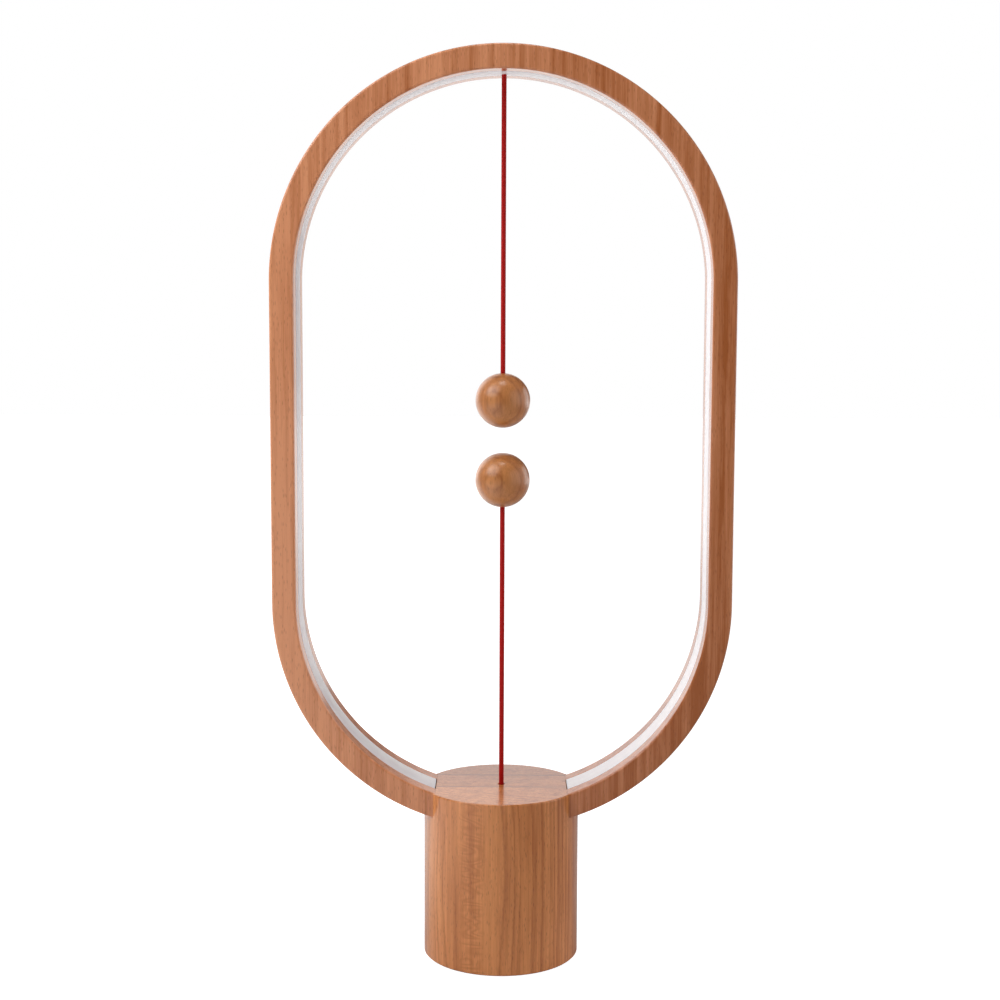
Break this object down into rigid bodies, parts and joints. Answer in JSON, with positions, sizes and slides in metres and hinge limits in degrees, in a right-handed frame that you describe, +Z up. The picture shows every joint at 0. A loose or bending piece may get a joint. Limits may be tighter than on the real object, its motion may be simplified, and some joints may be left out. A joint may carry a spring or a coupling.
{
  "type": "magnetic balance lamp",
  "caption": "Table lamp: a wooden ring with a light line inside stands in a round foot block, and a magnet ball on a string floats below its mate and pulls the switch.",
  "frame": {"origin": "middle of the underside of the foot pad, on the table", "axes": "+Z up, +X to the right seen from the front, and the front faces -Y"},
  "size_m": [0.2, 0.069, 0.3995],
  "materials": {
    "ring_wood": "beech, satin oil",
    "block_wood": "beech, satin oil",
    "ball_wood": "beech, polished",
    "plug_wood": "beech end grain, polished",
    "ply": "plywood, raw",
    "foot_foam": "soft foam, matt",
    "milky_cover": "milky silicone, satin",
    "red_string": "round braided string",
    "screw_steel": "zinc plated",
    "weight_steel": "turned steel",
    "spring_steel": "drawn wire",
    "socket_steel": "nickel plated",
    "magnet": "nickel plated",
    "brass": "turned brass",
    "board": "green solder mask",
    "black_plastic": "moulded, matt",
    "grey_plastic": "moulded, matt",
    "capacitor": "shrunk sleeve",
    "copper": "enamelled wire",
    "lead_cover": "soft lead cover",
    "strip": "white strip",
    "lamp_chip": "lamp chip"
  },
  "bodies": {
    "lamp_body": {"foot_pad": "foot_foam", "base_plate": "ply", "base_plate_screws": "screw_steel", "base_body": "block_wood", "counterweight": "weight_steel", "counterweight_screws": "screw_steel", "board_posts": "brass", "circuit_board": "board", "board_screws": "screw_steel", "driver_chip": "black_plastic", "choke_coil": "copper", "capacitors": "capacitor", "resistors": "black_plastic", "power_socket": "black_plastic", "socket_shell": "socket_steel", "socket_tongue": "black_plastic", "switch_housing": "grey_plastic", "switch_screws": "screw_steel", "switch_cover": "grey_plastic", "fixed_contacts": "brass", "return_spring": "spring_steel", "string_guide": "grey_plastic", "switch_leads": "lead_cover", "light_leads": "lead_cover", "ring_frame": "ring_wood", "ring_foot_screws": "screw_steel", "led_strip_left": "strip", "led_strip_right": "strip", "led_chips": "lamp_chip", "diffuser": "milky_cover", "string_anchor": "brass", "upper_string_root": "red_string"},
    "switch_pull": {"switch_slider": "black_plastic", "contact_bridge": "brass", "pull_string": "red_string"},
    "lower_bend": {"lower_string_bend": "red_string"},
    "lower_tether": {"lower_string": "red_string", "lower_ball": "ball_wood", "lower_magnet": "magnet", "lower_plug": "plug_wood"},
    "upper_bend": {"upper_string_bend": "red_string"},
    "upper_pendulum": {"upper_string": "red_string", "upper_ball": "ball_wood", "upper_magnet": "magnet", "upper_plug": "plug_wood"}
  },
  "joints": [
    {"name": "switch_travel", "type": "slide", "parent": "lamp_body", "child": "switch_pull", "axis": [0, 0, 1], "range_m": [-0.003, 0], "stiffness_N_per_m": 150, "springref_m": 0.004, "deforming": ["return_spring"]},
    {"name": "lower_swing_side", "type": "hinge", "parent": "switch_pull", "child": "lower_bend", "pos_m": [0, 0, 0.081], "axis": [0, 1, 0], "range_deg": [-33, 33], "stiffness_Nm_per_rad": 0.05},
    {"name": "lower_swing_front", "type": "hinge", "parent": "lower_bend", "child": "lower_tether", "pos_m": [0, 0, 0.081], "axis": [1, 0, 0], "range_deg": [-45, 45], "stiffness_Nm_per_rad": 0.05},
    {"name": "upper_swing_side", "type": "hinge", "parent": "lamp_body", "child": "upper_bend", "pos_m": [0, 0, 0.386], "axis": [0, 1, 0], "range_deg": [-33, 33]},
    {"name": "upper_swing_front", "type": "hinge", "parent": "upper_bend", "child": "upper_pendulum", "pos_m": [0, 0, 0.386], "axis": [1, 0, 0], "range_deg": [-75, 75]}
  ]
}
